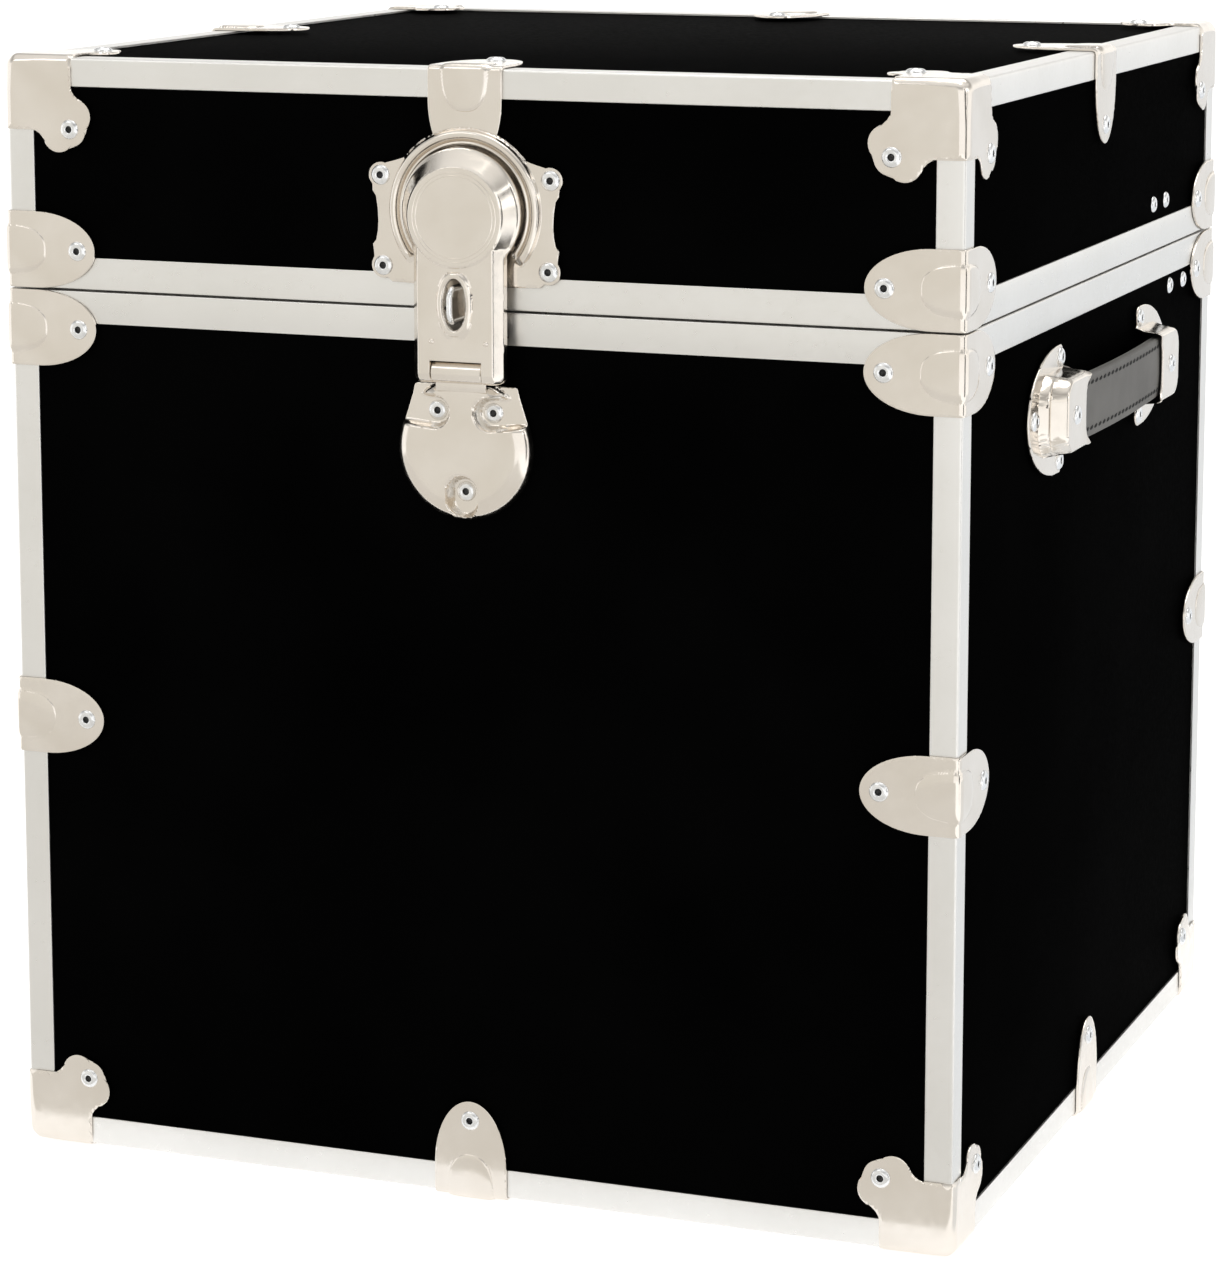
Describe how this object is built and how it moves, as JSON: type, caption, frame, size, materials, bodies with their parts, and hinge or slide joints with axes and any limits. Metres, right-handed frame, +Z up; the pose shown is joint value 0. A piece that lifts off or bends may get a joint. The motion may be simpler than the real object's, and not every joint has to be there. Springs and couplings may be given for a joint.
{
  "type": "cube footlocker trunk",
  "caption": "Cube-shaped trunk of black laminated plywood with metal edging, riveted corner caps and clamps, a hasp lock, side handles and a hinged lid.",
  "frame": {"origin": "centre of the overall footprint, at floor level", "axes": "+X to the trunk's right seen from the front, +Y to the rear, +Z up; the lock is on the -Y side"},
  "size_m": [0.5296, 0.5268, 0.5652],
  "materials": {
    "laminated_plywood": "black laminate on the outside",
    "edging_aluminium": "satin",
    "nickel_steel": "bright nickel plate",
    "zinc_steel": "bright zinc plate",
    "leather": "smooth black, stitched"
  },
  "bodies": {
    "body": {"base_cap_front_left": "nickel_steel", "base_cap_front_right": "nickel_steel", "base_cap_rear_left": "nickel_steel", "base_cap_rear_right": "nickel_steel", "base_clamp_front": "nickel_steel", "base_clamp_left": "nickel_steel", "base_clamp_rear": "nickel_steel", "base_clamp_right": "nickel_steel", "base_edging": "edging_aluminium", "body_back_panel": "laminated_plywood", "body_bottom_panel": "laminated_plywood", "body_front_panel": "laminated_plywood", "body_left_panel": "laminated_plywood", "body_lock_plate": "nickel_steel", "body_right_panel": "laminated_plywood", "body_rim_clamp_front_left": "nickel_steel", "body_rim_clamp_front_right": "nickel_steel", "body_rim_clamp_rear_left": "nickel_steel", "body_rim_clamp_rear_right": "nickel_steel", "body_rim_edging": "edging_aluminium", "hasp_pin": "zinc_steel", "hinge_body_leaf": "zinc_steel", "hinge_pin": "zinc_steel", "left_handle_front_loop": "nickel_steel", "left_handle_grip": "leather", "left_handle_rear_loop": "nickel_steel", "mid_clamp_front_left": "nickel_steel", "mid_clamp_front_right": "nickel_steel", "mid_clamp_rear_left": "nickel_steel", "mid_clamp_rear_right": "nickel_steel", "right_handle_front_loop": "nickel_steel", "right_handle_grip": "leather", "right_handle_rear_loop": "nickel_steel", "stay_body_bracket": "zinc_steel"},
    "lid": {"hinge_lid_leaf": "zinc_steel", "lid_back_panel": "laminated_plywood", "lid_cap_front_left": "nickel_steel", "lid_cap_front_right": "nickel_steel", "lid_cap_rear_left": "nickel_steel", "lid_cap_rear_right": "nickel_steel", "lid_edging": "edging_aluminium", "lid_front_panel": "laminated_plywood", "lid_left_panel": "laminated_plywood", "lid_lock_plate": "nickel_steel", "lid_right_panel": "laminated_plywood", "lid_rim_clamp_front_left": "nickel_steel", "lid_rim_clamp_front_right": "nickel_steel", "lid_rim_clamp_rear_left": "nickel_steel", "lid_rim_clamp_rear_right": "nickel_steel", "lid_rim_edging": "edging_aluminium", "lid_top_panel": "laminated_plywood", "staple": "zinc_steel", "stay_lid_bracket": "zinc_steel", "top_clamp_front": "nickel_steel", "top_clamp_left": "nickel_steel", "top_clamp_rear": "nickel_steel", "top_clamp_right": "nickel_steel"},
    "hasp": {"hasp": "nickel_steel"},
    "stay_lower": {"stay_lower_arm": "zinc_steel"},
    "stay_upper": {"stay_upper_arm": "zinc_steel"}
  },
  "joints": [
    {"name": "lid_hinge", "type": "hinge", "parent": "body", "child": "lid", "pos_m": [0, 0.26057, 0.4465], "axis": [-1, 0, 0], "range_deg": [0, 105]},
    {"name": "hasp_hinge", "type": "hinge", "parent": "body", "child": "hasp", "pos_m": [0, -0.25013, 0.4171], "axis": [1, 0, 0], "range_deg": [0, 135]},
    {"name": "stay_lower_pivot", "type": "hinge", "parent": "body", "child": "stay_lower", "pos_m": [0.23395, 0.18132, 0.423], "axis": [-1, 0, 0], "range_deg": [0, 105]},
    {"name": "stay_upper_pivot", "type": "hinge", "parent": "lid", "child": "stay_upper", "pos_m": [0.23195, 0.13832, 0.4715], "axis": [-1, 0, 0], "range_deg": [-105, 0]}
  ],
  "couplings": [
    {"joint": "stay_lower_pivot", "follows": "lid_hinge", "ratio": 1},
    {"joint": "stay_upper_pivot", "follows": "lid_hinge", "ratio": -1}
  ]
}
